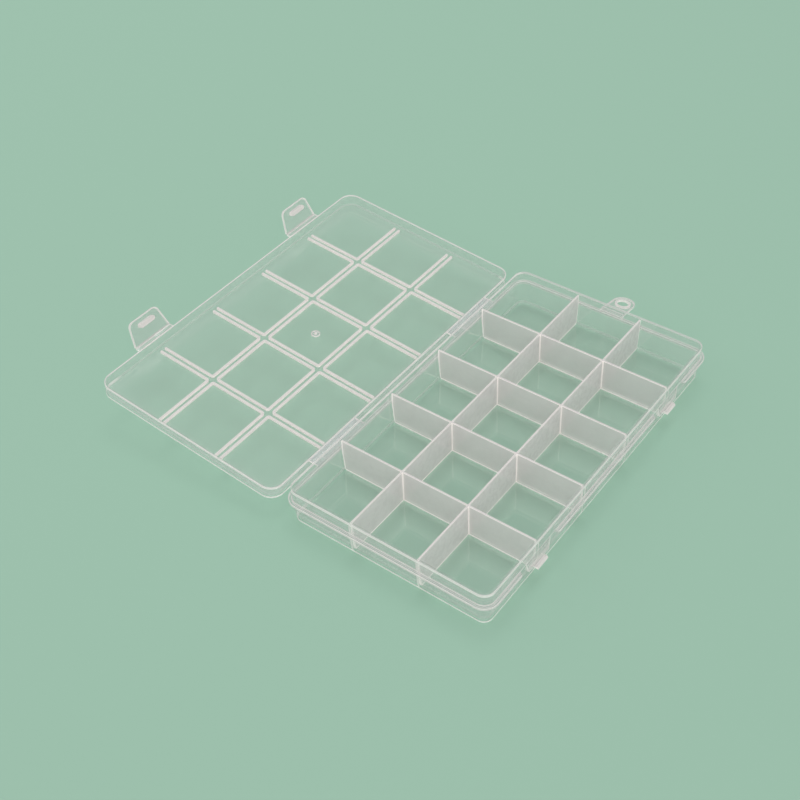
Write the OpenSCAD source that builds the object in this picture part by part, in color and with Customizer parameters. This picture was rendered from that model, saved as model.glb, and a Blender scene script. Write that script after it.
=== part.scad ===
// Compartment box for beads: tray with fifteen cells, one lid on film hinges, two latch flaps.
// Frame: origin at the centre of the tray's underside, X across the tray towards the latches,
// Y along the tray towards the hanging tab, Z up. Units are millimetres.

/* [Tray] */
// Length of the tray over its rim walls
tray_length = 171; // [150:1:200]
// Width of the tray over its rim walls
tray_width = 95.8; // [84:0.2:110]
// Height of the rim above the surface the tray stands on
tray_height = 18.2; // [17.4:0.1:22]
// Corner radius of the rim, outside
corner_radius = 5; // [4.2:0.1:8]
// Thickness of the outer walls
wall_thickness = 1.1; // [0.9:0.05:1.4]
// Thickness of the floor
floor_thickness = 1.3; // [0.9:0.05:1.6]
// How far the foot of the outer wall is drawn in by the draft
wall_draft = 1; // [0.6:0.05:1.3]
// Radius of the outer bottom edge
bottom_radius = 1.6; // [0.8:0.1:2]
// Radius between the floor and the walls, inside
floor_fillet = 1; // [0.5:0.1:1.2]

/* [Dividers] */
// Compartments across the width
columns = 3; // [2:1:4]
// Compartments along the length
rows = 5; // [3:1:6]
// Distance between the long dividers
column_pitch = 31.88; // [24:0.01:32]
// Distance between the cross dividers
row_pitch = 34.23; // [28:0.01:36]
// Divider thickness at its top edge
divider_top_thickness = 0.7; // [0.6:0.05:0.9]
// Divider thickness at the floor
divider_foot_thickness = 1; // [0.8:0.05:1.3]
// How far the dividers' tops lie below the rim
divider_drop = 0.58; // [0.4:0.02:0.8]

/* [Flange] */
// Height of the flange's upper face
flange_height = 12.3; // [12:0.1:12.6]
// Thickness of the flange
flange_thickness = 1; // [0.7:0.05:1.2]
// How far the flange stands out of the rim wall
flange_width = 1.55; // [1.4:0.05:1.9]

/* [Lid] */
// Thickness of the lid panel
lid_thickness = 1.1; // [0.9:0.05:1.4]
// Free height between the rim and the closed lid panel
lid_clearance = 0.25; // [0.2:0.05:0.4]
// Gap between the rim wall and the skirt
skirt_gap = 0.35; // [0.32:0.01:0.45]
// Thickness of the skirt
skirt_thickness = 0.95; // [0.8:0.05:1]
// Radius of the lid's outer edge
lid_edge_radius = 1.2; // [0.6:0.1:1.5]
// Thickness of the ribs round each cell
rib_thickness = 0.9; // [0.7:0.05:1.1]
// Height of the ribs round each cell
rib_height = 1.15; // [1.05:0.05:1.3]
// Distance from a divider's middle to the middle of the ribs beside it
rib_offset = 1.35; // [1.25:0.05:1.6]
// How far the lid stands open in the rest pose, 0 is closed
lid_open_angle = 174.45; // [0:0.05:183]

/* [Hinge films] */
// Length of each film along the hinge line
strap_length = 30.8; // [24:0.1:36]
// Distance of each film's middle from the middle of the box
strap_offset = 49; // [40:0.5:54]
// Thickness of the films
strap_thickness = 0.4; // [0.3:0.05:0.5]
// Distance from the rim wall to the fold line
hinge_distance = 3.75; // [3.5:0.05:4.2]

/* [Latches] */
// Distance of each latch's middle from the middle of the box
latch_offset = 51.3; // [44:0.1:54]
// Length of the gap in the flange at each latch
latch_window = 24.8; // [22:0.1:28]
// Distance from the skirt to the fold of the flap
land_width = 2.3; // [1.9:0.05:2.5]
// Width of the flap at its fold
flap_root_width = 21.2; // [18:0.1:22]
// Width of the flap at its tip
flap_tip_width = 16.8; // [14:0.1:18]
// Length of the flap from fold to tip
flap_length = 10.9; // [10.5:0.1:11.6]
// Thickness of the flaps and lands
flap_thickness = 0.8; // [0.7:0.05:0.9]
// Radius of the flap's tip corners
flap_corner = 2.8; // [2:0.1:3.5]
// Angle of the near flap to the lid panel in the rest pose, 90 is latched
near_flap_angle = 61; // [0:1:90]
// Angle of the far flap to the lid panel in the rest pose, 90 is latched
far_flap_angle = 65; // [0:1:90]
// Length of the hooking bar
bar_length = 9; // [7:0.1:10]
// Width of the hooking bar
bar_width = 2.2; // [1.4:0.1:2.4]
// Height of the hooking bar
bar_height = 1.8; // [1.3:0.1:2]
// Width of the catch
catch_width = 7.2; // [6:0.1:9]
// How far the catch's nose stands out of the rim wall's plane
catch_reach = 2.6; // [2.4:0.05:2.7]

/* [Hanging tab] */
// Width of the tab at its root
tab_width = 11.2; // [10:0.1:14]
// Distance from the rim wall to the middle of the hole
tab_reach = 12.95; // [12:0.05:15]
// How far the tab droops out of the flange's plane, in degrees
tab_droop = 10.5; // [0:0.5:20]
// Diameter of the hanging hole
hole_diameter = 5.5; // [4:0.1:6]

/* [Hidden] */
$fn = 48;

// Colours: milky clear panels, whiter thick edges
clear_panel = [0.80, 0.84, 0.82, 0.45];
clear_edge = [0.93, 0.88, 0.88, 0.75];

arc_steps = 6;
near_side = -1;
far_side = 1;

flange_foot = flange_height - flange_thickness;
draft_angle = atan(wall_draft / flange_foot);
divider_top = tray_height - divider_drop;

// Closed lid
panel_under = tray_height + lid_clearance;
panel_top = panel_under + lid_thickness;
skirt_foot = flange_height + 0.3;
skirt_outer = skirt_gap + skirt_thickness;
lid_fillet = 0.5;
rib_foot = panel_under - rib_height;
rib_end_gap = 2.2;
rib_outer_radius = 1.2;
rib_inner_radius = 0.35;

// Hinge line of the lid, a little above the film so that the folded halves lie apart
hinge_x = -tray_width / 2 - hinge_distance;
hinge_z = skirt_foot;
film_gap = 0.1;

// Fold line of the latch flaps
fold_x = tray_width / 2 + skirt_outer + land_width;
fold_gap = 0.1;

// The catch: pad face leans out from the rim wall, and its shelf ends it
pad_top_half = 8.6;
pad_foot_half = 7;
pad_foot = 7;
pad_lean_top = 0.1;
pad_lean_foot = 0.7;
catch_top = 7.4;
catch_foot = 6.4;
catch_lip = 0.6;
bar_clearance = 0.25;
bar_start = skirt_foot - catch_foot + bar_clearance;

// The hanging tab: level at its root, then bent down, then straight
tab_root = 3.9;
tab_step = 0.1;
tab_top = flange_height - tab_step;
tab_thickness = flange_thickness - tab_step;
tab_bend_radius = 6;
tab_bend_start = tab_root - tab_bend_radius * tan(tab_droop / 2);
tab_hole = (tab_reach - tab_root) / cos(tab_droop);
tab_tip = tab_hole + 0.6;
tab_tip_radius = tab_width / 2 - 0.35;
collar_radius = 3.65;

gate_diameter = 4.2;
gate_nub = 1.1;
gate_height = 0.35;

// Points on an arc, from one angle to another
function arc(x, y, r, from, to, steps = arc_steps) =
    [for (i = [0 : steps]) let (t = from + (to - from) * i / steps) [x + r * cos(t), y + r * sin(t)]];

// How far the drafted wall is drawn in at height z
function draft_at(z) = z < flange_foot ? wall_draft * (1 - z / flange_foot) : 0;

// Middle of a fillet that touches the drafted face, whose face is depth inside the rim
function fillet_x(depth, r, z) = -depth - draft_at(z) - r / cos(draft_angle);

// Divider positions along an axis
function divider_at(i, count, pitch) = (i - count / 2) * pitch;

// Rounded rectangle, width along X
module rounded_plate(width, length, r) {
    square([width - 2 * r, length], center = true);
    square([width, length - 2 * r], center = true);
    for (sx = [-1, 1], sy = [-1, 1])
        translate([sx * (width / 2 - r), sy * (length / 2 - r)]) circle(r);
}

// Sweeps a section round the rim's rounded rectangle; in the section x = 0 is the rim's
// outer face, outwards is positive, and y is the height
module around_rim() {
    side_x = tray_width / 2 - corner_radius;
    side_y = tray_length / 2 - corner_radius;
    corners = [[side_x, side_y, 0], [-side_x, side_y, 90], [-side_x, -side_y, 180], [side_x, -side_y, 270]];
    for (c = corners)
        translate([c[0], c[1], 0]) rotate([0, 0, c[2]])
            rotate_extrude(angle = 90) translate([corner_radius, 0]) children();
    for (turn = [0, 180]) {
        rotate([0, 0, turn]) translate([tray_width / 2, side_y, 0])
            rotate([90, 0, 0]) linear_extrude(2 * side_y) children();
        rotate([0, 0, turn]) translate([-side_x, tray_length / 2, 0])
            rotate([90, 0, 90]) linear_extrude(2 * side_x) children();
    }
}

// Flat block that closes the middle of a swept part
module middle_block(from, to) {
    translate([0, 0, (from + to) / 2])
        cube([tray_width - 2 * corner_radius, tray_length - 2 * corner_radius, to - from], center = true);
}

// Outer face of the tray's wall, from the bottom edge upwards
function outer_face() = arc(fillet_x(0, bottom_radius, bottom_radius), bottom_radius, bottom_radius, -90, -draft_angle);

// Inner face of the tray's wall, from the rim down to the floor
function inner_face() =
    let (z = floor_thickness + floor_fillet)
    arc(fillet_x(wall_thickness, floor_fillet, z), z, floor_fillet, -draft_angle, -90);

module wall_section() {
    polygon(concat(
        [[-corner_radius, 0]], outer_face(), [[0, flange_foot], [0, tray_height]],
        [[-wall_thickness, tray_height], [-wall_thickness, flange_foot]], inner_face(),
        [[-corner_radius, floor_thickness]]
    ));
}

// The tray's outer volume
module tray_volume() {
    around_rim()
        polygon(concat([[-corner_radius, 0]], outer_face(), [[0, flange_foot], [0, tray_height], [-corner_radius, tray_height]]));
    middle_block(0, tray_height);
}

// The space inside the tray's walls, up to the dividers' tops
module tray_space() {
    around_rim()
        polygon(concat(
            [[-corner_radius, divider_top], [-wall_thickness, divider_top], [-wall_thickness, flange_foot]],
            inner_face(), [[-corner_radius, floor_thickness]]
        ));
    middle_block(floor_thickness, divider_top);
}

module tray_shell() color(clear_panel) {
    around_rim() wall_section();
    middle_block(0, floor_thickness);
}

// Plan of the ledge outside the rim, with rounded ends at the latch windows
module flange_plan() {
    difference() {
        rounded_plate(tray_width + 2 * flange_width, tray_length + 2 * flange_width, corner_radius + flange_width);
        rounded_plate(tray_width, tray_length, corner_radius);
        for (side = [near_side, far_side])
            translate([tray_width / 2, side * latch_offset - latch_window / 2 - flange_width])
                square([2 * flange_width, latch_window + 2 * flange_width]);
    }
    for (side = [near_side, far_side], end = [-1, 1])
        intersection() {
            translate([tray_width / 2, side * latch_offset + end * (latch_window / 2 + flange_width)])
                circle(flange_width);
            translate([tray_width / 2, side * latch_offset + end * (latch_window / 2 + flange_width) - flange_width])
                square([2 * flange_width, 2 * flange_width]);
        }
}

module rim_flange() color(clear_edge)
    translate([0, 0, flange_foot]) linear_extrude(flange_thickness) flange_plan();

// Tapered section of a divider, standing on the floor
module divider_section() {
    foot = divider_foot_thickness / 2;
    top = divider_top_thickness / 2;
    polygon([[-foot, floor_thickness], [foot, floor_thickness], [top, divider_top], [-top, divider_top]]);
}

module long_slab(x) {
    translate([x, tray_length / 2, 0]) rotate([90, 0, 0]) linear_extrude(tray_length) divider_section();
}

module cross_slab(y) {
    translate([-tray_width / 2, y, 0]) rotate([90, 0, 90]) linear_extrude(tray_width) divider_section();
}

module long_divider(i) color(clear_edge)
    intersection() {
        tray_space();
        long_slab(divider_at(i, columns, column_pitch));
    }

module cross_divider(i) color(clear_edge)
    difference() {
        intersection() {
            tray_space();
            cross_slab(divider_at(i, rows, row_pitch));
        }
        for (k = [1 : columns - 1]) long_slab(divider_at(k, columns, column_pitch));
    }

// Pad and hooked shelf that a latch flap closes over
module latch_catch(side) color(clear_edge)
    difference() {
        translate([tray_width / 2, side * latch_offset, 0]) {
            intersection() {
                rotate([90, 0, 0]) linear_extrude(4 * pad_top_half, center = true)
                    polygon([
                        [-bottom_radius, pad_foot], [pad_lean_foot, pad_foot],
                        [pad_lean_top, flange_height], [-bottom_radius, flange_height]
                    ]);
                rotate([90, 0, 90]) linear_extrude(4 * bottom_radius, center = true)
                    polygon([
                        [-pad_foot_half, pad_foot], [pad_foot_half, pad_foot],
                        [pad_top_half, flange_height], [-pad_top_half, flange_height]
                    ]);
            }
            rotate([90, 0, 0]) linear_extrude(catch_width, center = true)
                polygon([
                    [-bottom_radius, catch_foot], [catch_reach, catch_foot],
                    [catch_reach - catch_lip, catch_top], [-bottom_radius, catch_top]
                ]);
        }
        tray_volume();
    }

// Places parts on the drooping end of the tab, whose upper face is z = 0; y = 0 is the fold
module drooped() {
    translate([0, tray_length / 2 + tab_root, tab_top]) rotate([-tab_droop, 0, 0]) children();
}

// The tab from the side, with its bend, running on past its tip
module tab_profile() {
    run = 2 * tab_reach;
    under_x = tab_root + run * cos(tab_droop) - tab_thickness * sin(tab_droop);
    under_z = -run * sin(tab_droop) - tab_thickness * cos(tab_droop);
    polygon(concat(
        [[flange_width, 0]],
        arc(tab_bend_start, -tab_bend_radius, tab_bend_radius, 90, 90 - tab_droop),
        [[tab_root + run * cos(tab_droop), -run * sin(tab_droop)], [under_x, under_z]],
        arc(tab_bend_start, -tab_bend_radius, tab_bend_radius - tab_thickness, 90 - tab_droop, 90),
        [[flange_width, -tab_thickness]]
    ));
}

// Tongue with a round hole and a low collar, and a thicker root flush with the flange
module hang_tab() color(clear_edge)
    difference() {
        union() {
            intersection() {
                translate([0, tray_length / 2, tab_top]) rotate([90, 0, 90])
                    linear_extrude(2 * tab_width, center = true) tab_profile();
                drooped() linear_extrude(2 * tab_reach, center = true) {
                    translate([0, tab_tip]) circle(tab_tip_radius);
                    polygon([
                        [-tab_width / 2, -tab_reach], [tab_width / 2, -tab_reach], [tab_width / 2, 0],
                        [tab_tip_radius, tab_tip], [-tab_tip_radius, tab_tip], [-tab_width / 2, 0]
                    ]);
                }
            }
            translate([-tab_width / 2, tray_length / 2 + flange_width, flange_foot])
                cube([tab_width, tab_root - flange_width, flange_thickness]);
            drooped() translate([0, tab_hole, -tab_thickness]) cylinder(h = flange_thickness, r = collar_radius);
        }
        drooped() translate([0, tab_hole, -tab_reach / 2]) cylinder(h = tab_reach, d = hole_diameter);
    }

// The tray's half of a hinge film, level with the flange's upper face
module tray_strap(side) color(clear_panel)
    translate([hinge_x + film_gap, side * strap_offset - strap_length / 2, flange_height - strap_thickness])
        cube([hinge_distance - flange_width - film_gap, strap_length, strap_thickness]);

// Turns a part of the closed lid about the hinge line to the rest pose
module opened() {
    translate([hinge_x, 0, hinge_z]) rotate([0, -lid_open_angle, 0])
        translate([-hinge_x, 0, -hinge_z]) children();
}

// The lid's outer edge and the corner between its panel and skirt, as a section
module lid_section() {
    top_edge = arc(skirt_outer - lid_edge_radius, panel_top - lid_edge_radius, lid_edge_radius, 0, 90);
    inner_edge = arc(skirt_gap - lid_fillet, panel_under - lid_fillet, lid_fillet, 90, 0);
    polygon(concat(
        [[-corner_radius, panel_top], [-corner_radius, panel_under]], inner_edge,
        [[skirt_gap, skirt_foot], [skirt_outer, skirt_foot]], top_edge
    ));
}

module lid_shell() color(clear_panel)
    opened() {
        around_rim() lid_section();
        middle_block(panel_under, panel_top);
    }

// Plan of one cell's rib frame; a side at the tray's wall is left open
module cell_frame(col, row) {
    near_x = divider_at(col, columns, column_pitch) - (col == 0 ? tray_width : 0);
    far_x = divider_at(col + 1, columns, column_pitch) + (col == columns - 1 ? tray_width : 0);
    near_y = divider_at(row, rows, row_pitch) - (row == 0 ? tray_length : 0);
    far_y = divider_at(row + 1, rows, row_pitch) + (row == rows - 1 ? tray_length : 0);
    outer = rib_offset - rib_thickness / 2;
    inner = rib_offset + rib_thickness / 2;
    translate([(near_x + far_x) / 2, (near_y + far_y) / 2]) difference() {
        rounded_plate(far_x - near_x - 2 * outer, far_y - near_y - 2 * outer, rib_outer_radius);
        rounded_plate(far_x - near_x - 2 * inner, far_y - near_y - 2 * inner, rib_inner_radius);
    }
}

module lid_cell_ribs() color(clear_edge)
    opened() translate([0, 0, rib_foot]) linear_extrude(rib_height)
        intersection() {
            square([tray_width - 2 * rib_end_gap, tray_length - 2 * rib_end_gap], center = true);
            for (col = [0 : columns - 1], row = [0 : rows - 1]) cell_frame(col, row);
        }

// Witness of the injection point: a low disc and its nub, inside the middle cell
module gate_mark() color(clear_edge)
    opened() {
        translate([0, 0, panel_under - gate_height]) cylinder(h = gate_height, d = gate_diameter);
        translate([0, 0, panel_under - 2 * gate_height]) cylinder(h = gate_height, d = gate_nub);
    }

// The lid's half of a hinge film, the mirror image of the tray's half about the hinge line
module lid_strap(side) color(clear_panel)
    opened()
        translate([
            hinge_x + film_gap, side * strap_offset - strap_length / 2, 2 * hinge_z - flange_height
        ])
            cube([hinge_distance - skirt_outer - film_gap, strap_length, strap_thickness]);

// Ledge between the skirt and the fold of a latch flap
module latch_land(side) color(clear_edge)
    opened()
        translate([tray_width / 2 + skirt_outer, side * latch_offset - flap_root_width / 2, skirt_foot])
            cube([land_width - fold_gap, flap_root_width, flap_thickness]);

// Turns a part drawn on the closed lid's level to the flap's rest pose
module unfolded(side) {
    angle = side == near_side ? near_flap_angle : far_flap_angle;
    opened() translate([fold_x, 0, skirt_foot]) rotate([0, angle, 0])
        translate([-fold_x, 0, -skirt_foot]) children();
}

// Outline of a flap, with its fold along x = 0
module flap_plan() {
    root = flap_root_width / 2;
    tip = flap_tip_width / 2;
    lean = atan((root - tip) / flap_length);
    // middle of the tip corner's round, which touches the leaning side and the tip edge
    mid_x = flap_length - flap_corner;
    mid_y = root - mid_x * tan(lean) - flap_corner / cos(lean);
    polygon(concat(
        [[fold_gap, -root], [fold_gap, root]],
        arc(mid_x, mid_y, flap_corner, 90 - lean, 0),
        arc(mid_x, -mid_y, flap_corner, 0, lean - 90)
    ));
}

module latch_flap(side) color(clear_panel)
    unfolded(side)
        translate([fold_x, side * latch_offset, skirt_foot]) linear_extrude(flap_thickness) flap_plan();

// Raised bar on the flap's inner face, with round ends
module latch_bar(side) color(clear_edge)
    unfolded(side)
        translate([fold_x + bar_start + bar_width / 2, side * latch_offset, skirt_foot - bar_height])
            linear_extrude(bar_height) {
                square([bar_width, bar_length - bar_width], center = true);
                for (end = [-1, 1])
                    translate([0, end * (bar_length - bar_width) / 2]) circle(bar_width / 2);
            }

tray_shell();
rim_flange();
long_divider(1);  // long_divider_1
long_divider(2);  // long_divider_2
cross_divider(1);  // cross_divider_1
cross_divider(2);  // cross_divider_2
cross_divider(3);  // cross_divider_3
cross_divider(4);  // cross_divider_4
latch_catch(near_side);  // latch_catch_near
latch_catch(far_side);  // latch_catch_far
hang_tab();
tray_strap(near_side);  // tray_strap_near
tray_strap(far_side);  // tray_strap_far
lid_shell();
lid_cell_ribs();
gate_mark();
lid_strap(near_side);  // lid_strap_near
lid_strap(far_side);  // lid_strap_far
latch_land(near_side);  // latch_land_near
latch_land(far_side);  // latch_land_far
latch_flap(near_side);  // latch_flap_near
latch_flap(far_side);  // latch_flap_far
latch_bar(near_side);  // latch_bar_near
latch_bar(far_side);  // latch_bar_far
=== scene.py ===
import bpy
import bmesh
import math
from mathutils import Matrix, Vector


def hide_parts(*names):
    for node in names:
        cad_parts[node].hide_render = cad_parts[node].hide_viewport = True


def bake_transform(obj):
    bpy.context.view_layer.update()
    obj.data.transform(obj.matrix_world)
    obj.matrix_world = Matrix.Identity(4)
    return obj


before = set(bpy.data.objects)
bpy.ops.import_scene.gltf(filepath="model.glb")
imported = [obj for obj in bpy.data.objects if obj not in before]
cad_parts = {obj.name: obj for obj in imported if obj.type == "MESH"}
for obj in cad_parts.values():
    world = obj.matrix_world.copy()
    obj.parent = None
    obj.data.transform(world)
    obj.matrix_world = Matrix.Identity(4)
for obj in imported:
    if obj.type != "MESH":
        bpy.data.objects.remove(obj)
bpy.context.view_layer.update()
MM = 0.001

# ------------------------------------------------------------------ sizes of the part
# In mm, from the part's source. Those of the lid and its flaps are for the closed lid.
RIM_HALF_X, RIM_HALF_Y = 47.9, 85.5
RIM_CORNER = 5.0
DRAFT, DRAFT_TOP = 1.0, 11.3
HALF_COLUMN, HALF_ROW = 15.94, 17.115
HINGE_X, HINGE_Z = -51.65, 12.6
OPENING = 174.45
STRAP_Y = 49.0
LATCH_Y = 51.3
FOLD_X, FOLD_Z = 51.5, 12.6
FOLDED = {"near": 61.0, "far": 65.0}
FLAP_LENGTH, FLAP_CORNER = 10.9, 2.8
FLAP_ROOT_HALF, FLAP_TIP_HALF = 10.6, 8.4
TAB_BEND_Y, TAB_BEND_Z = 89.4, 12.2
TAB_DROOP = math.radians(10.5)
TAB_HOLE, TAB_TIP = 9.204, 9.804
TAB_ROOT_HALF, TAB_TIP_HALF = 5.6, 5.25

# ------------------------------------------------------------------ camera
# Found by fitting the tray's and lid's edges to the photo: place, right, down and forward axes.
CAMERA_LENS = 56.932
CAMERA_SENSOR = 36.0
CAMERA_CLIP = (0.01, 50.0)
CAMERA_PLACE = Vector((202.931, -322.759, 382.399)) * MM
CAMERA_RIGHT = Vector((0.80103515, 0.59737868, -0.03848880))
CAMERA_DOWN = Vector((0.38598011, -0.56457324, -0.72957276))
CAMERA_AHEAD = Vector((-0.45756096, 0.56955751, -0.68281931))

cam_data = bpy.data.cameras.new("camera")
cam_data.lens = CAMERA_LENS
cam_data.sensor_width = CAMERA_SENSOR
cam_data.clip_start, cam_data.clip_end = CAMERA_CLIP
cam = bpy.data.objects.new("camera", cam_data)
bpy.context.scene.collection.objects.link(cam)
turn = Matrix((CAMERA_RIGHT, -CAMERA_DOWN, -CAMERA_AHEAD)).transposed()
cam.matrix_world = Matrix.Translation(CAMERA_PLACE) @ turn.to_4x4()
bpy.context.scene.camera = cam

# ------------------------------------------------------------------ node helpers


def new_material(name):
    m = bpy.data.materials.new(name)
    m.use_nodes = True
    m.node_tree.nodes.clear()
    return m, m.node_tree


def node(nt, kind, **values):
    n = nt.nodes.new(kind)
    for key, value in values.items():
        setattr(n, key, value)
    return n


def feed(nt, socket, value):
    if isinstance(value, bpy.types.NodeSocket):
        nt.links.new(value, socket)
    else:
        socket.default_value = value


def calc(nt, operation, a, b=None, c=None):
    n = node(nt, "ShaderNodeMath", operation=operation)
    for socket, value in zip(n.inputs, (a, b, c)):
        if value is not None:
            feed(nt, socket, value)
    return n.outputs[0]


def span(nt, value, ends, to=(0.0, 1.0), curve="SMOOTHSTEP"):
    """value from ends[0]..ends[1] to to[0]..to[1], clamped and smoothed."""
    n = node(nt, "ShaderNodeMapRange", interpolation_type=curve, clamp=True)
    for socket, entry in zip(n.inputs, (value, *ends, *to)):
        feed(nt, socket, entry)
    return n.outputs[0]


def span_mm(nt, value, ends, to=(0.0, 1.0), curve="SMOOTHSTEP"):
    """The same with ends in mm."""
    return span(nt, value, (ends[0] * MM, ends[1] * MM), to, curve)


def most(nt, *values):
    out = values[0]
    for v in values[1:]:
        out = calc(nt, "MAXIMUM", out, v)
    return out


def both(nt, *values):
    out = values[0]
    for v in values[1:]:
        out = calc(nt, "MULTIPLY", out, v)
    return out


def size_of(nt, value):
    return calc(nt, "ABSOLUTE", value)


def minus_mm(nt, value, middle):
    return calc(nt, "SUBTRACT", value, middle * MM)


def hypot(nt, a, b):
    return calc(nt, "SQRT", calc(nt, "ADD", calc(nt, "MULTIPLY", a, a), calc(nt, "MULTIPLY", b, b)))


def beside(nt, value, centre, width, soft):
    """1 within width of centre, falling to 0 over soft, all in mm."""
    return span_mm(nt, size_of(nt, minus_mm(nt, value, centre)), (width, width + soft), (1.0, 0.0))


def noise(nt, vector, scale, detail=3.0, rough=0.5, stretch=None):
    if stretch is not None:
        m = node(nt, "ShaderNodeMapping")
        nt.links.new(vector, m.inputs["Vector"])
        m.inputs["Scale"].default_value = stretch
        vector = m.outputs[0]
    n = node(nt, "ShaderNodeTexNoise")
    nt.links.new(vector, n.inputs["Vector"])
    n.inputs["Scale"].default_value = scale
    n.inputs["Detail"].default_value = detail
    n.inputs["Roughness"].default_value = rough
    return n.outputs["Fac"]


def mixed_shader(nt, share, first, second):
    n = node(nt, "ShaderNodeMixShader")
    feed(nt, n.inputs[0], share)
    nt.links.new(first, n.inputs[1])
    nt.links.new(second, n.inputs[2])
    return n.outputs[0]


# ------------------------------------------------------------------ places on the part


def parts_of(nt, vector):
    """The x, y and z of a vector."""
    n = node(nt, "ShaderNodeSeparateXYZ")
    nt.links.new(vector, n.inputs[0])
    return n.outputs


def local(nt):
    """Position and normal in the row frame at rest, which stay with the body as it moves."""
    coord = node(nt, "ShaderNodeTexCoord").outputs
    return coord["Object"], parts_of(nt, coord["Object"]), parts_of(nt, coord["Normal"])


def lid_local(nt, angle):
    """As local, but turned back to the closed lid, so that its own height and normal can be read.
    For a flap's normals, angle leaves out the angle that the flap is folded up by at rest."""
    coord = node(nt, "ShaderNodeTexCoord").outputs
    back = node(nt, "ShaderNodeVectorRotate", rotation_type="Y_AXIS")
    nt.links.new(coord["Object"], back.inputs["Vector"])
    back.inputs["Center"].default_value = (HINGE_X * MM, 0.0, HINGE_Z * MM)
    back.inputs["Angle"].default_value = math.radians(OPENING)
    facing = node(nt, "ShaderNodeVectorRotate", rotation_type="Y_AXIS")
    nt.links.new(coord["Normal"], facing.inputs["Vector"])
    facing.inputs["Angle"].default_value = math.radians(angle)
    return coord["Object"], parts_of(nt, back.outputs[0]), parts_of(nt, facing.outputs[0])


def outline(nt, at):
    """Distance outside the rim's outer face, seen from above: 0 on that face, below 0 inside it."""
    qx = minus_mm(nt, size_of(nt, at[0]), RIM_HALF_X - RIM_CORNER)
    qy = minus_mm(nt, size_of(nt, at[1]), RIM_HALF_Y - RIM_CORNER)
    far = hypot(nt, calc(nt, "MAXIMUM", qx, 0.0), calc(nt, "MAXIMUM", qy, 0.0))
    near = calc(nt, "MINIMUM", calc(nt, "MAXIMUM", qx, qy), 0.0)
    return minus_mm(nt, calc(nt, "ADD", far, near), RIM_CORNER)


def drawn_in(nt, at):
    """How far the draft draws the outer face in at each height."""
    return span_mm(nt, at[2], (0.0, DRAFT_TOP), (DRAFT * MM, 0.0), "LINEAR")


def flat(nt, facing, up=1.0):
    """1 on faces that look along +Z, or along -Z when up is -1, fading out on sloping faces."""
    return span(nt, calc(nt, "MULTIPLY", facing[2], up), (0.6, 0.9))


def steep(nt, facing, ends, to=(0.0, 1.0)):
    """to[0] to to[1] as the upright share of a face's normal, 1 on a level face and 0 on a wall,
    goes from ends[0] to ends[1]."""
    return span(nt, size_of(nt, facing[2]), ends, to)


def near_side(nt, at):
    """1 towards the short side that faces the camera."""
    return span_mm(nt, at[1], (-70.0, -80.0))


def at_strap(nt, at):
    """1 along the two hinge films."""
    off = size_of(nt, minus_mm(nt, size_of(nt, at[1]), STRAP_Y))
    return both(nt, span_mm(nt, off, (15.5, 15.3)), span_mm(nt, at[0], (-44.0, -46.0)))


# ------------------------------------------------------------------ bright lines and cloudy places
# A mask is 1 where an edge, a rib or a line is painted bright: a painted highlight with a painted glow. A
# cloud is haze that is added, and a dull is where the gloss is taken away. All are told from the distance to
# the part's own edges.
# The pairs of mm are where a line begins and where it is full.
WALL_LEVEL, WALL_STEEP = 0.9, 0.5
SIDE_LEVEL, SIDE_STEEP = 0.8, 0.4
ROUND_STEEP, ROUND_LEVEL = 0.99, 0.95
# how bright a painted bottom line is on the sides that the camera doesn't face, against those it faces
BACK_HIGHLIGHT = 0.3


def outer_face(nt, at, d):
    """1 on the outer face of the walls, also where the draft and the bottom round draw it in."""
    face = span_mm(nt, calc(nt, "ADD", d, drawn_in(nt, at)), (-0.5, -0.3))
    return most(nt, face, span_mm(nt, at[2], (1.3, 0.9)))


def stands_at(nt, along, step, line):
    """1 where dividers stand, at odd multiples of step."""
    ping = calc(nt, "PINGPONG", along, step * MM)
    return span_mm(nt, calc(nt, "SUBTRACT", step * MM, ping), line, (1.0, 0.0))


def wall_line(nt, along, across, step, reach, wall):
    """Where the dividers behind a wall stand against it, up to reach steps off the middle."""
    line = stands_at(nt, along, step, (0.35, 0.6))
    inside = span_mm(nt, size_of(nt, along), (reach * step, (reach + 0.05) * step), (1.0, 0.0))
    return both(nt, line, inside, span_mm(nt, size_of(nt, across), (wall - 1.0, wall)))


def tray_mask(nt, at, facing):
    """A line round the rim's outer edge, one above the flange, one round the bottom edge, and the
    dividers' ends."""
    d = outline(nt, at)
    outer = span_mm(nt, d, (-0.3, -0.1))
    top = both(nt, flat(nt, facing), span_mm(nt, at[2], (17.0, 17.6)), span_mm(nt, d, (-0.4, -0.2)))
    brim = both(nt, outer, span_mm(nt, at[2], (16.75, 17.0)))
    # painted highlight: the rim's line is painted weaker on the far side, and the bottom line and the
    # dividers' ends fully only on the sides that face the camera
    rim = both(nt, most(nt, top, brim), span_mm(nt, at[1], (83.0, 85.0), (1.0, 0.72)))
    joint = both(nt, outer, beside(nt, at[2], 12.5, 0.2, 0.2), 0.8)
    shown = most(nt, near_side(nt, at), span_mm(nt, at[0], (40.0, 46.0)))
    face = outer_face(nt, at, d)
    upright = steep(nt, facing, (0.97, 0.7))
    foot = both(nt, beside(nt, at[2], 1.15, 0.7, 0.2), upright, most(nt, shown, BACK_HIGHLIGHT), face)
    long_ends = wall_line(nt, at[0], at[1], HALF_COLUMN, 2.0, 84.0)
    cross_ends = wall_line(nt, at[1], at[0], HALF_ROW, 4.0, 46.4)
    ends = both(nt, most(nt, long_ends, cross_ends), shown, face, 0.75)
    return most(nt, rim, joint, foot, ends)


def tray_cloud(nt, at, facing):
    """The walls are seen along more of the plastic than the floor."""
    return steep(nt, facing, (WALL_LEVEL, WALL_STEEP), (0.0, 0.06))


def tray_dull(nt, at, facing):
    """The small rounds between floor and walls keep no highlight."""
    low = span_mm(nt, at[2], (2.6, 2.3))
    return both(nt, low, steep(nt, facing, (ROUND_STEEP, ROUND_LEVEL)))


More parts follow.
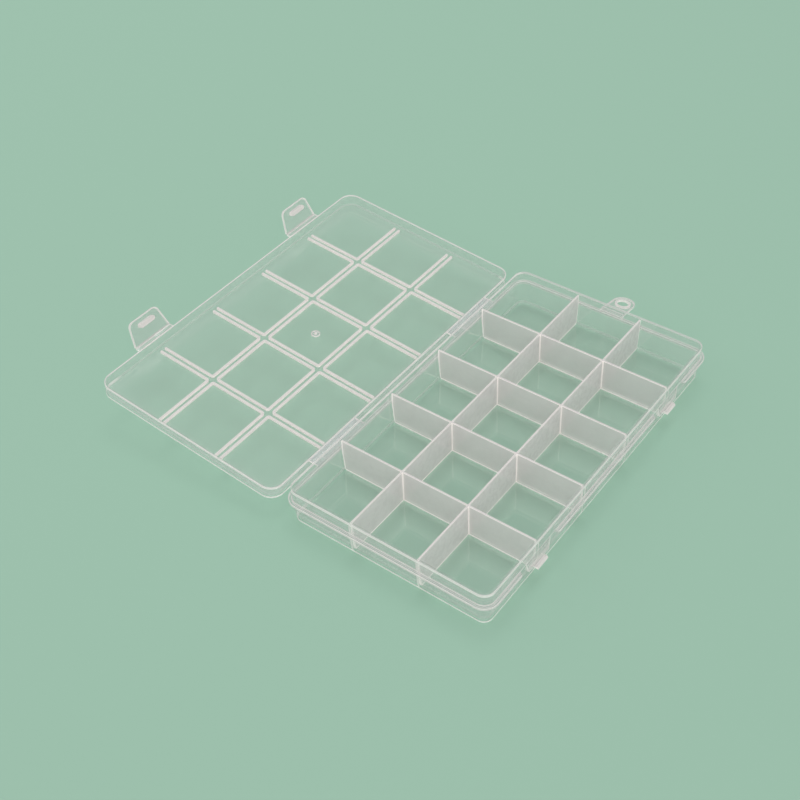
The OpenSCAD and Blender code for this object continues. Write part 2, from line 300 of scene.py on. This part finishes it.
def divider_mask(along, step):
    """Upper edge, the line along the floor, the corners at crossings, and the ends at the walls."""

    def mask(nt, at, facing):
        top = span_mm(nt, at[2], (17.2, 17.45))
        foot = span_mm(nt, at[2], (2.3, 2.0))
        cross = both(nt, stands_at(nt, at[along], step, (0.7, 0.9)), 0.9)
        wall = calc(nt, "ADD", outline(nt, at), drawn_in(nt, at))
        return most(nt, top, foot, cross, span_mm(nt, wall, (-1.75, -1.5)))

    return mask


def lid_mask(nt, at, facing):
    """A line round the skirt's free edge, and one round the panel's edge where it is seen from outside."""
    d = outline(nt, at)
    lip = both(nt, flat(nt, facing, -1.0), span_mm(nt, at[2], (13.2, 12.8)), span_mm(nt, d, (0.72, 0.92)))
    side = both(nt, span_mm(nt, d, (1.0, 1.2)), span_mm(nt, at[2], (13.6, 13.3)))
    # painted highlight: the panel's edge line is painted fully only on the sides that face the camera
    shown = most(nt, near_side(nt, at), span_mm(nt, at[0], (-40.0, -46.0)), BACK_HIGHLIGHT)
    edge = both(nt, beside(nt, at[2], 18.5, 0.6, 0.2), span_mm(nt, d, (0.6, 0.8)), shown)
    return most(nt, lip, side, edge)


def lid_cloud(nt, at, facing):
    """The panel is a little cloudier along its edge."""
    return span_mm(nt, outline(nt, at), (-9.0, 0.5), (0.0, 0.05))


def lid_dull(nt, at, facing):
    """The rounds between the panel and the skirt keep no highlight either."""
    high = span_mm(nt, at[2], (17.6, 17.9))
    return both(nt, high, steep(nt, facing, (ROUND_STEEP, ROUND_LEVEL)))


def flange_mask(nt, at, facing):
    """A line along its outer edge, left out at the hinge films, and one along the wall."""
    d = outline(nt, at)
    level = flat(nt, facing)
    edge = both(nt, level, span_mm(nt, d, (1.18, 1.34)))
    upright = steep(nt, facing, (SIDE_LEVEL, SIDE_STEEP))
    side = both(nt, upright, span_mm(nt, d, (0.6, 1.0)), span_mm(nt, at[2], (11.7, 11.9)))
    free = calc(nt, "SUBTRACT", 1.0, at_strap(nt, at))
    joint = both(nt, level, span_mm(nt, d, (0.4, 0.22)), 0.85)
    return most(nt, both(nt, most(nt, edge, side), free), joint)


def flange_cloud(nt, at, facing):
    """Cloudier on its level faces, and more so where a hinge film joins it."""
    return calc(nt, "ADD", both(nt, at_strap(nt, at), 0.2), both(nt, flat(nt, facing), 0.1))


def tab_mask(nt, at, facing):
    """The ring round the hole, the tab's outline, and the line across its root."""
    dy, dz = minus_mm(nt, at[1], TAB_BEND_Y), minus_mm(nt, at[2], TAB_BEND_Z)
    out_y, out_z = both(nt, dy, math.cos(TAB_DROOP)), both(nt, dz, math.sin(TAB_DROOP))
    along = calc(nt, "SUBTRACT", out_y, out_z)
    ring = span_mm(nt, hypot(nt, at[0], minus_mm(nt, along, TAB_HOLE)), (3.75, 3.6))
    past = calc(nt, "MAXIMUM", minus_mm(nt, along, TAB_TIP), 0.0)
    half = span_mm(nt, along, (0.0, TAB_TIP), (TAB_ROOT_HALF * MM, TAB_TIP_HALF * MM), "LINEAR")
    border = span_mm(nt, calc(nt, "SUBTRACT", hypot(nt, at[0], past), half), (-0.55, -0.35))
    root = both(nt, beside(nt, at[1], 89.3, 0.2, 0.2), span_mm(nt, at[2], (12.1, 12.2)))
    return most(nt, ring, both(nt, border, 0.85), root)


def tab_cloud(nt, at, facing):
    """Cloudier where the tab lies against the flange."""
    return span_mm(nt, at[1], (89.5, 89.3), (0.0, 0.22))


def plate_mask(nt, at, facing):
    """The sides of a thin flat plate that lies level when the lid is closed and the flap unfolded."""
    return steep(nt, facing, (SIDE_LEVEL, SIDE_STEEP))


def flap_mask(nt, at, facing):
    """The flap's sides, and a line along its outline with the two rounded corners."""
    along = hypot(nt, minus_mm(nt, at[0], FOLD_X), minus_mm(nt, at[2], FOLD_Z))
    across = size_of(nt, minus_mm(nt, size_of(nt, at[1]), LATCH_Y))
    halves = (FLAP_ROOT_HALF * MM, FLAP_TIP_HALF * MM)
    half = span_mm(nt, along, (0.0, FLAP_LENGTH), halves, "LINEAR")
    side = both(nt, calc(nt, "SUBTRACT", half, across), 0.98)
    tip = calc(nt, "SUBTRACT", FLAP_LENGTH * MM, along)
    cx = calc(nt, "MAXIMUM", calc(nt, "SUBTRACT", FLAP_CORNER * MM, side), 0.0)
    cy = calc(nt, "MAXIMUM", calc(nt, "SUBTRACT", FLAP_CORNER * MM, tip), 0.0)
    within = calc(nt, "SUBTRACT", FLAP_CORNER * MM, hypot(nt, cx, cy))
    return most(nt, plate_mask(nt, at, facing), span_mm(nt, within, (0.6, 0.4), (0.0, 0.9)))


def catch_mask(nt, at, facing):
    """The hooked shelf, and the pad's border."""
    shelf = span_mm(nt, at[0], (48.65, 48.85))
    off = size_of(nt, minus_mm(nt, size_of(nt, at[1]), LATCH_Y))
    half = span_mm(nt, at[2], (7.0, 12.3), (7.0 * MM, 8.6 * MM), "LINEAR")
    border = span_mm(nt, calc(nt, "SUBTRACT", half, off), (0.5, 0.3))
    return most(nt, shelf, both(nt, most(nt, border, span_mm(nt, at[2], (7.5, 7.3))), 0.85))


def gate_mask(nt, at, facing):
    """A thin ring round the disc, and the nub in its middle."""
    r = hypot(nt, at[0], at[1])
    return most(nt, span_mm(nt, r, (1.6, 1.8)), span_mm(nt, r, (0.75, 0.6)))


def whole(nt, at, facing):
    """All of the piece is painted bright: the step lies a metre below it."""
    return span(nt, at[2], (-1.0, -0.9))


def strap_mask(nt, at, facing):
    """The ends of a hinge film."""
    off = size_of(nt, minus_mm(nt, size_of(nt, at[1]), STRAP_Y))
    return span_mm(nt, off, (14.9, 15.2))


# ------------------------------------------------------------------ polypropylene
# One plastic. Where it is thin it shows what is behind it through a milky haze, and its edges, ribs and
# corners are painted a pinkish white with a painted glow, in place of the light that runs along it.
# painted highlight: the pinkish white that the bright edges, ribs and lines are painted
PAINTED_GLOW_TINT = (0.97, 0.925, 0.91, 1.0)
MILK = (0.80, 0.785, 0.775, 1.0)
COOL = (0.78, 0.80, 0.81, 1.0)
CLEAR = (0.997, 0.998, 0.998, 1.0)
WHITE = (1.0, 1.0, 1.0, 1.0)
FLECK = (0.88, 0.90, 0.89, 1.0)

BROAD_SCALE, FINE_SCALE, FLOW_SCALE = 38.0, 420.0, 60.0
FLOW_STRETCH = (0.35, 2.6, 2.6)
HAZE_BASE, HAZE_BROAD, HAZE_FLOW = 0.77, 0.34, 0.08
GRAZING_POWER, GRAZING_GAIN = 4.0, 6.0
FRESNEL_POWER = 5.0
# how much less a lamp's light is stopped than sight, by the haze and by the gloss
HAZE_EASED, GLOSS_EASED = -0.68, -0.9
FLECK_SHARE = 0.06
# painted shade: how dark a face that looks up is painted, against a wall
PAINTED_LEVEL_SHADE = 0.74
THROUGH_UP, THROUGH_MID = -0.4, 0.45
ROUGH, ROUGH_SPREAD = 0.22, 0.14
GLOSS = 0.9
IOR, INNER_SPECULAR = 1.49, 0.2
BUMP_STRENGTH, BUMP_DEPTH, BUMP_FINE = 0.07, 0.00006, 0.02


def tinted(nt, where, fine, milk):
    """The milk's colour, the painted highlight tint where the mask is, with faint flecks."""
    tint = node(nt, "ShaderNodeMix", data_type="RGBA")
    feed(nt, tint.inputs[0], where)
    tint.inputs[6].default_value = milk
    tint.inputs[7].default_value = PAINTED_GLOW_TINT
    flecks = node(nt, "ShaderNodeMix", data_type="RGBA", blend_type="MULTIPLY")
    feed(nt, flecks.inputs[0], span(nt, fine, (0.35, 0.75), (0.0, FLECK_SHARE)))
    nt.links.new(tint.outputs[2], flecks.inputs[6])
    flecks.inputs[7].default_value = FLECK
    return flecks.outputs[2]


def scaled_colour(nt, colour, factor):
    n = node(nt, "ShaderNodeVectorMath", operation="SCALE")
    nt.links.new(colour, n.inputs[0])
    feed(nt, n.inputs["Scale"], factor)
    return n.outputs[0]


def bumps(nt, broad, fine):
    n = node(nt, "ShaderNodeBump")
    n.inputs["Strength"].default_value = BUMP_STRENGTH
    n.inputs["Distance"].default_value = BUMP_DEPTH
    nt.links.new(calc(nt, "ADD", broad, calc(nt, "MULTIPLY", fine, BUMP_FINE)), n.inputs["Height"])
    return n.outputs[0]


def plastic(name, haze, glow, mask=None, turned=None, milk=MILK, polish=0.09, mirror=0.04,
            cloud=None, dull=None, painted_glow_strength=0.2):
    """haze and glow are how much of the light each face stops, in thin walls and at the painted bright lines.
    mask(nt, at, facing) gives where the painted highlight and the painted glow are, 0 to 1, cloud gives haze
    to be added, and dull gives where the gloss is taken away. painted_glow_strength is how strongly the
    bright lines are painted to give off light of their own."""
    m, nt = new_material(name)
    vector, at, facing = lid_local(nt, turned) if turned else local(nt)
    broad = noise(nt, vector, BROAD_SCALE, 3.0, 0.55)
    fine = noise(nt, vector, FINE_SCALE, 4.0, 0.6)
    flow = noise(nt, vector, FLOW_SCALE, 2.0, 0.5, FLOW_STRETCH)
    where = mask(nt, at, facing) if mask else 0.0

    # haze: cloudy on a broad scale, with faint flow streaks
    cloudy = calc(nt, "ADD", both(nt, broad, HAZE_BROAD), both(nt, flow, HAZE_FLOW))
    amount = calc(nt, "ADD", cloud(nt, at, facing), haze) if cloud else haze
    share = calc(nt, "MULTIPLY", calc(nt, "ADD", cloudy, HAZE_BASE), amount)
    # the view runs a long way through the plastic where it grazes a wall or a rounded edge
    aside = node(nt, "ShaderNodeLayerWeight")
    aside.inputs["Blend"].default_value = 0.5
    grazing = calc(nt, "POWER", aside.outputs["Facing"], GRAZING_POWER)
    share = calc(nt, "MULTIPLY", share, calc(nt, "MULTIPLY_ADD", grazing, GRAZING_GAIN, 1.0))
    stopped = node(nt, "ShaderNodeMix", data_type="FLOAT")
    feed(nt, stopped.inputs[0], where)
    feed(nt, stopped.inputs[2], share)
    stopped.inputs[3].default_value = glow
    # most of the light that the milk catches still goes on ahead, so lamps pass it more easily than sight
    lamp = node(nt, "ShaderNodeLightPath").outputs["Is Shadow Ray"]
    eased = calc(nt, "MULTIPLY_ADD", lamp, HAZE_EASED, 1.0)
    opacity = calc(nt, "MULTIPLY", calc(nt, "MINIMUM", stopped.outputs[0], 1.0), eased)

    # painted shade: the colour is painted darker on faces that look up, the more level the darker, so that
    # they look no brighter under the lamp above
    up = parts_of(nt, node(nt, "ShaderNodeNewGeometry").outputs["Normal"])[2]
    painted_shade = span(nt, up, (0.0, 1.0), (1.0, PAINTED_LEVEL_SHADE), "LINEAR")
    colour = scaled_colour(nt, tinted(nt, where, fine, milk), painted_shade)
    bump = bumps(nt, broad, fine)

    body = node(nt, "ShaderNodeBsdfPrincipled")
    nt.links.new(colour, body.inputs["Base Color"])
    feed(nt, body.inputs["Roughness"], span(nt, fine, (0.3, 0.75), (ROUGH, ROUGH + ROUGH_SPREAD)))
    body.inputs["IOR"].default_value = IOR
    body.inputs["Specular IOR Level"].default_value = INNER_SPECULAR
    nt.links.new(bump, body.inputs["Normal"])
    # a face that looks down shows the light that comes through it from above
    through = node(nt, "ShaderNodeBsdfTranslucent")
    nt.links.new(colour, through.inputs["Color"])
    passed = calc(nt, "MULTIPLY_ADD", up, THROUGH_UP, THROUGH_MID)
    milky = mixed_shader(nt, passed, body.outputs[0], through.outputs[0])
    # painted glow: the bright lines give off light of their own, most where they look down, in place of the
    # light that runs along the plastic to the edges, also to those that no lamp reaches
    painted_glow_shader = node(nt, "ShaderNodeEmission")
    nt.links.new(colour, painted_glow_shader.inputs["Color"])
    lower = span(nt, up, (-1.0, 1.0), (painted_glow_strength, 0.0), "LINEAR")
    feed(nt, painted_glow_shader.inputs["Strength"], calc(nt, "MULTIPLY", where, lower))
    lit = node(nt, "ShaderNodeAddShader")
    nt.links.new(milky, lit.inputs[0])
    nt.links.new(painted_glow_shader.outputs[0], lit.inputs[1])

    clear = node(nt, "ShaderNodeBsdfTransparent")
    clear.inputs["Color"].default_value = CLEAR
    veil = mixed_shader(nt, opacity, clear.outputs[0], lit.outputs[0])

    shine = node(nt, "ShaderNodeBsdfGlossy")
    shine.inputs["Color"].default_value = WHITE
    shine.inputs["Roughness"].default_value = polish
    nt.links.new(bump, shine.inputs["Normal"])
    # Schlick's curve, the same from inside and outside, because this thin plastic doesn't bend the view
    slant = calc(nt, "POWER", aside.outputs["Facing"], FRESNEL_POWER)
    fresnel = calc(nt, "MULTIPLY_ADD", slant, 1.0 - mirror, mirror)
    shown = calc(nt, "MULTIPLY", calc(nt, "MULTIPLY_ADD", lamp, GLOSS_EASED, 1.0), GLOSS)
    if dull:
        shown = calc(nt, "MULTIPLY", shown, calc(nt, "SUBTRACT", 1.0, dull(nt, at, facing)))
    skin = mixed_shader(nt, calc(nt, "MULTIPLY", fresnel, shown), veil, shine.outputs[0])

    out = node(nt, "ShaderNodeOutputMaterial")
    nt.links.new(skin, out.inputs["Surface"])
    return m


# the turn from the rest pose back to the closed lid, and for the flaps' normals without their fold
FLAT_NEAR, FLAT_FAR = OPENING - FOLDED["near"], OPENING - FOLDED["far"]
mats = {
    "shell": plastic("pp_tray_wall", 0.045, 0.85, tray_mask, polish=0.05, mirror=0.09,
                     cloud=tray_cloud, dull=tray_dull),
    "long": plastic("pp_long_divider", 0.52, 0.95, divider_mask(1, HALF_ROW)),
    "cross": plastic("pp_cross_divider", 0.52, 0.95, divider_mask(0, HALF_COLUMN)),
    "flange": plastic("pp_flange", 0.12, 0.85, flange_mask, cloud=flange_cloud),
    "tab": plastic("pp_hanging_tab", 0.12, 0.85, tab_mask, cloud=tab_cloud),
    "catch": plastic("pp_catch", 0.16, 0.85, catch_mask),
    "lid": plastic("pp_lid_panel", 0.062, 0.85, lid_mask, turned=OPENING, cloud=lid_cloud, dull=lid_dull),
    "rib": plastic("pp_rib", 0.9, 0.95, whole, painted_glow_strength=0.0),
    "gate": plastic("pp_gate_mark", 0.22, 0.75, gate_mask, turned=OPENING),
    "land": plastic("pp_land", 0.24, 0.85, plate_mask, turned=OPENING),
    "flap_near": plastic("pp_flap_near", 0.17, 0.85, flap_mask, turned=FLAT_NEAR),
    "flap_far": plastic("pp_flap_far", 0.17, 0.85, flap_mask, turned=FLAT_FAR),
    "film": plastic("pp_film", 0.36, 0.85, strap_mask, milk=COOL),
    "fold": plastic("pp_fold", 0.42, 0.85),
}
assign = {
    "tray_shell": "shell",
    "rim_flange": "flange",
    "hang_tab": "tab",
    "lid_shell": "lid",
    "lid_cell_ribs": "rib",
    "gate_mark": "gate",
    "latch_catch_near": "catch",
    "latch_catch_far": "catch",
    "latch_land_near": "land",
    "latch_land_far": "land",
    "latch_flap_near": "flap_near",
    "latch_flap_far": "flap_far",
    "latch_bar_near": "rib",
    "latch_bar_far": "rib",
    "tray_strap_near": "film",
    "tray_strap_far": "film",
    "lid_strap_near": "film",
    "lid_strap_far": "film",
    "long_divider_1": "long",
    "long_divider_2": "long",
}
for name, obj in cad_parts.items():
    obj.data.materials.clear()
    obj.data.materials.append(mats[assign.get(name, "cross")])

# ------------------------------------------------------------------ films at the folds


def swept(name, section, middle, half, steps, material):
    """A closed section of (x, z) points in mm, carried along Y as a closed solid."""
    bm = bmesh.new()
    rings = []
    for i in range(steps + 1):
        y = middle - half + 2.0 * half * i / steps
        rings.append([bm.verts.new(Vector((x, y, z)) * MM) for x, z in section])
    count = len(section)
    for a, b in zip(rings, rings[1:]):
        for k in range(count):
            n = (k + 1) % count
            bm.faces.new((a[k], a[n], b[n], b[k]))
    bm.faces.new(rings[0])
    bm.faces.new(rings[-1])
    bmesh.ops.recalc_face_normals(bm, faces=bm.faces)
    mesh = bpy.data.meshes.new(name)
    bm.to_mesh(mesh)
    bm.free()
    mesh.materials.append(material)
    obj = bpy.data.objects.new(name, mesh)
    bpy.context.scene.collection.objects.link(obj)
    return obj


def smooth(t):
    t = min(max(t, 0.0), 1.0)
    return t * t * (3.0 - 2.0 * t)


def about(x, z, cx, cz, degrees):
    """Turns (x, z) about (cx, cz), a positive angle taking +X towards -Z, as about the +Y axis."""
    c, s = math.cos(math.radians(degrees)), math.sin(math.radians(degrees))
    dx, dz = x - cx, z - cz
    return cx + dx * c + dz * s, cz - dx * s + dz * c


# A hinge film runs from the flange to the lid's skirt, 0.4 mm thick and half of that at the fold.
FILM_IN, FILM_OUT, FILM_BEND = 2.25, 2.5, 0.9
FILM_UNDER = 0.5
FILM_COUNT = 26
FILM_HALF, FILM_THINNED = 0.11, 0.09
THIN_FROM, THIN_OVER = 0.35, 0.45
STRAP_HALF = 15.4
SWEEP_STEPS = 4


def hinge_section():
    upper, lower = [], []
    for i in range(FILM_COUNT + 1):
        u = FILM_IN - (FILM_IN + FILM_OUT) * i / FILM_COUNT
        half = FILM_HALF + FILM_THINNED * smooth((abs(u) - THIN_FROM) / THIN_OVER)
        raised = (180.0 - OPENING) * smooth((FILM_BEND - u) / (2 * FILM_BEND))
        for side, points in ((half, upper), (-half, lower)):
            points.append(about(HINGE_X + u, HINGE_Z - FILM_UNDER + side, HINGE_X, HINGE_Z, raised))
    return upper + lower[::-1]


for side, name in ((-1, "near"), (1, "far")):
    film = swept("hinge_film_" + name, hinge_section(), side * STRAP_Y, STRAP_HALF, SWEEP_STEPS, mats["film"])
    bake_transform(film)
    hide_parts("tray_strap_" + name, "lid_strap_" + name)

# A fold film joins a land to its flap: a rounded bead about the fold line, from one end face to the other.
BEAD = 0.42
BEAD_FOOT = 0.03
BEAD_END, BEAD_BEND = 0.25, 0.1
BEAD_COUNT = 8
BEAD_HALF = 10.5


def fold_point(x, z):
    """From the closed lid's level, with the fold line at 0, to the rest pose."""
    return about(FOLD_X + x, FOLD_Z + z, HINGE_X, HINGE_Z, -OPENING)


def fold_section(folded):
    points = [(-BEAD_END, BEAD_FOOT), (-BEAD_END, BEAD), (-BEAD_BEND, BEAD)]
    for i in range(1, BEAD_COUNT):
        a = folded * i / BEAD_COUNT
        x = -BEAD_BEND + 2.0 * BEAD_BEND * i / BEAD_COUNT * math.cos(math.radians(a / 2))
        points.append(about(x, BEAD, 0.0, 0.0, a))
    for x, z in ((BEAD_BEND, BEAD), (BEAD_END, BEAD), (BEAD_END, BEAD_FOOT), (BEAD_BEND, BEAD_FOOT)):
        points.append(about(x, z, 0.0, 0.0, folded))
    points.append((-BEAD_BEND, BEAD_FOOT))
    return [fold_point(x, z) for x, z in points]


for side, name in ((-1, "near"), (1, "far")):
    section = fold_section(FOLDED[name])
    film = swept("fold_film_" + name, section, side * LATCH_Y, BEAD_HALF, SWEEP_STEPS, mats["fold"])
    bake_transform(film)

# ------------------------------------------------------------------ floor
FLOOR = (0.330, 0.520, 0.410, 1.0)
FLOOR_HALF = 2.0
FLOOR_GAP = 0.0003
FLOOR_FADE = (0.6, 1.7)

corners = [(-FLOOR_HALF, -FLOOR_HALF, 0), (FLOOR_HALF, -FLOOR_HALF, 0),
           (FLOOR_HALF, FLOOR_HALF, 0), (-FLOOR_HALF, FLOOR_HALF, 0)]
floor_mesh = bpy.data.meshes.new("floor")
floor_mesh.from_pydata(corners, [], [(0, 1, 2, 3)])
floor = bpy.data.objects.new("floor", floor_mesh)
floor.location.z = -FLOOR_GAP
bpy.context.scene.collection.objects.link(floor)


def paper():
    """Matt coloured paper, which far off fades into the background, so that no edge or horizon shows
    in a low view."""
    m, nt = new_material("floor_paper")
    coord = node(nt, "ShaderNodeTexCoord").outputs["Object"]
    bsdf = node(nt, "ShaderNodeBsdfPrincipled")
    bsdf.inputs["Base Color"].default_value = FLOOR
    bsdf.inputs["Roughness"].default_value = 0.85
    bsdf.inputs["Specular IOR Level"].default_value = 0.15
    bump = node(nt, "ShaderNodeBump")
    bump.inputs["Strength"].default_value = 0.1
    bump.inputs["Distance"].default_value = 0.00005
    nt.links.new(noise(nt, coord, 900.0, 3.0, 0.6), bump.inputs["Height"])
    nt.links.new(bump.outputs[0], bsdf.inputs["Normal"])
    level = node(nt, "ShaderNodeVectorMath", operation="MULTIPLY")
    nt.links.new(coord, level.inputs[0])
    level.inputs[1].default_value = (1.0, 1.0, 0.0)
    away = node(nt, "ShaderNodeVectorMath", operation="LENGTH")
    nt.links.new(level.outputs[0], away.inputs[0])
    gone = node(nt, "ShaderNodeBsdfTransparent")
    faded = span(nt, away.outputs["Value"], FLOOR_FADE)
    out = node(nt, "ShaderNodeOutputMaterial")
    nt.links.new(mixed_shader(nt, faded, bsdf.outputs[0], gone.outputs[0]), out.inputs["Surface"])
    return m


floor_mesh.materials.append(paper())

# ------------------------------------------------------------------ light
AMBIENT, AMBIENT_LEVEL = (1.0, 0.99, 0.98, 1.0), 0.58
MIRRORED, MIRRORED_LEVEL = (0.56, 0.68, 0.62, 1.0), 0.45

world = bpy.data.worlds.new("studio")
bpy.context.scene.world = world
world.use_nodes = True
wt = world.node_tree
wt.nodes.clear()


def sky(colour, strength):
    n = node(wt, "ShaderNodeBackground")
    n.inputs["Color"].default_value = colour
    n.inputs["Strength"].default_value = strength
    return n.outputs[0]


# what lights the scene, what shows in the gloss, and what is seen beyond the floor
ray = node(wt, "ShaderNodeLightPath").outputs
lighting = mixed_shader(wt, ray["Is Glossy Ray"], sky(AMBIENT, AMBIENT_LEVEL), sky(MIRRORED, MIRRORED_LEVEL))
seen = mixed_shader(wt, ray["Is Camera Ray"], lighting, sky(FLOOR, 1.0))
world_out = node(wt, "ShaderNodeOutputWorld")
wt.links.new(seen, world_out.inputs["Surface"])

AIM = (-0.05, 0.0, 0.0)


def softbox(name, at, size, power):
    data = bpy.data.lights.new(name, "AREA")
    data.shape = "RECTANGLE"
    data.size, data.size_y = size
    data.energy = power
    obj = bpy.data.objects.new(name, data)
    bpy.context.scene.collection.objects.link(obj)
    obj.location = at
    obj.rotation_mode = "QUATERNION"
    obj.rotation_quaternion = (Vector(AIM) - Vector(at)).to_track_quat("-Z", "Y")
    return obj


softbox("overhead", (-0.35, 0.6, 2.0), (1.0, 1.0), 12.0)
left = softbox("left", (-1.9, -0.3, 1.1), (2.0, 1.4), 9.0)
front = softbox("front", (1.4, -1.8, 1.2), (3.0, 1.8), 22.0)
# the two low lamps don't show in the gloss, where they would wash out a flat lid seen from behind
left.visible_glossy = False
front.visible_glossy = False

scene = bpy.context.scene
scene.view_settings.view_transform = "Standard"
scene.cycles.transparent_max_bounces = 48
